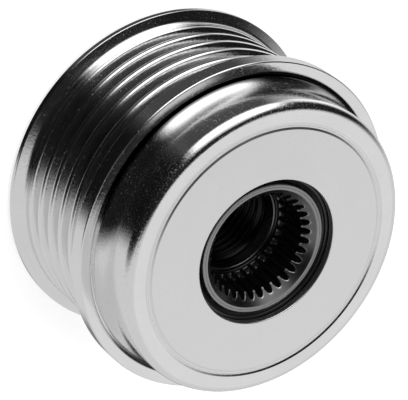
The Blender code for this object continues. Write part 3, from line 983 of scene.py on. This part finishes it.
# Studio. A pale tent all round, with a soft box at the left and black and grey boards that
# give the plating its dark bands. The boards show in the metal alone, and each stands nearer
# to the pulley than the one before and covers it.
tent = bpy.data.worlds.new("pale_tent")
bpy.context.scene.world = tent
tent.use_nodes = True
tent_light = 0.7
tent_strength = seen_plainly(Shade(tent.node_tree)) * (1 - tent_light) + tent_light
tent_cloth = tent.node_tree.nodes["Background"]
tent_cloth.inputs["Color"].default_value = (1.0, 1.0, 1.0, 1.0)
tent.node_tree.links.new(tent_strength.socket, tent_cloth.inputs["Strength"])
studio_centre = np.array([0.0, 0.0, 0.018])


def board(name, directions, heights, feather, light, distance):
    """A curved board round the pulley: part of a sphere between two directions and two heights.

    All are in degrees, and a height past 90 runs on over the top. What is seen of the board is
    the product of two steps 3t^2 - 2t^3, one along and one up, each over the feather's width.
    """
    across = np.linspace(directions[0], directions[1], 41)
    up = np.linspace(heights[0], heights[1], 31)
    turn, lift = np.radians(np.meshgrid(across, up))
    points = np.stack([np.cos(lift) * np.cos(turn), np.cos(lift) * np.sin(turn), np.sin(lift)], -1)
    points = studio_centre + distance * points
    side = (np.minimum(across - directions[0], directions[1] - across) + 0.001) / feather
    end = (np.minimum(up - heights[0], heights[1] - up) + 0.001) / feather
    inside = np.clip(np.meshgrid(side, end), 0, 1)
    fade = (inside * inside * (3 - 2 * inside)).prod(0)
    index = np.arange(fade.size).reshape(fade.shape)
    faces = np.stack([index[:-1, :-1], index[1:, :-1], index[1:, 1:], index[:-1, 1:]], -1).reshape(-1, 4)
    mesh = bpy.data.meshes.new(name)
    mesh.from_pydata(points.reshape(-1, 3).tolist(), [], faces.tolist())
    faded = mesh.attributes.new("fade", "FLOAT", "POINT")
    faded.data.foreach_set("value", fade.ravel().astype(np.float32))
    panel = bpy.data.objects.new(name, mesh)
    bpy.context.scene.collection.objects.link(panel)
    material, shader, start = start_finish(name)
    material.node_tree.nodes.remove(shader)
    glow = start.node("ShaderNodeEmission", {}, {"Color": (1.0, 1.0, 1.0, 1.0), "Strength": light})
    clear = start.node("ShaderNodeBsdfTransparent", {}, {})
    share = start.node("ShaderNodeAttribute", {"attribute_name": "fade"}, {}, "Fac")
    mixed = start.node("ShaderNodeMixShader", {}, {0: share, 1: clear, 2: glow})
    output = material.node_tree.nodes["Material Output"]
    material.node_tree.links.new(mixed.socket, output.inputs["Surface"])
    mesh.materials.append(material)
    for way in ("camera", "diffuse", "shadow", "transmission", "volume_scatter"):
        setattr(panel, f"visible_{way}", False)


board("pale_wall", (0, 360), (-89.9, 89.9), 0.001, 0.7, 0.62)
board("front_wall", (40, 138), (14, 80), 26, 0.8, 0.58)
board("far_grey_board", (30, 122), (-66, -18), 24, 0.15, 0.57)
board("black_board", (238, 336), (-85, 88), 18, 0.006, 0.56)
board("low_grey_board", (146, 268), (-110, -20), 24, 0.06, 0.54)
board("left_black_board", (116, 206), (-20, 86), 26, 0.008, 0.53)
board("top_black_board", (90, 354), (54, 112), 14, 0.01, 0.52)
board("low_card", (134, 184), (-50, -10), 14, 1.1, 0.5)
board("soft_box", (183, 259), (-31, 50), 20, 2.0, 0.48)

key = bpy.data.lights.new("overhead_key", "AREA")
key.shape = "DISK"
key.size = 0.5
key.energy = 3.2
key_lamp = bpy.data.objects.new("overhead_key", key)
bpy.context.scene.collection.objects.link(key_lamp)
key_lamp.location = (-0.25, -0.2, 0.8)
lamp_aim = Vector((0, 0, 0.02)) - key_lamp.location
key_lamp.rotation_euler = lamp_aim.to_track_quat("-Z", "Y").to_euler()
key_lamp.visible_glossy = False

# Camera. A long lens from the front and above, turned on its side so that the pulley's axis
# runs down to the right of the picture.
camera_data = bpy.data.cameras.new("camera")
camera_data.lens = 180.07
camera_data.sensor_width = 36.0
camera = bpy.data.objects.new("camera", camera_data)
bpy.context.scene.collection.objects.link(camera)
camera_place = Vector((-0.000248, -0.23648, 0.27715))
camera_aim = Vector((0.0, 0.6696, -0.7427))
camera_roll = radians(128.55)
aimed = camera_aim.to_track_quat("-Z", "Y").to_matrix().to_4x4()
camera.matrix_world = Matrix.Translation(camera_place) @ aimed @ Matrix.Rotation(camera_roll, 4, "Z")
bpy.context.scene.camera = camera

bpy.context.scene.view_settings.view_transform = "Standard"
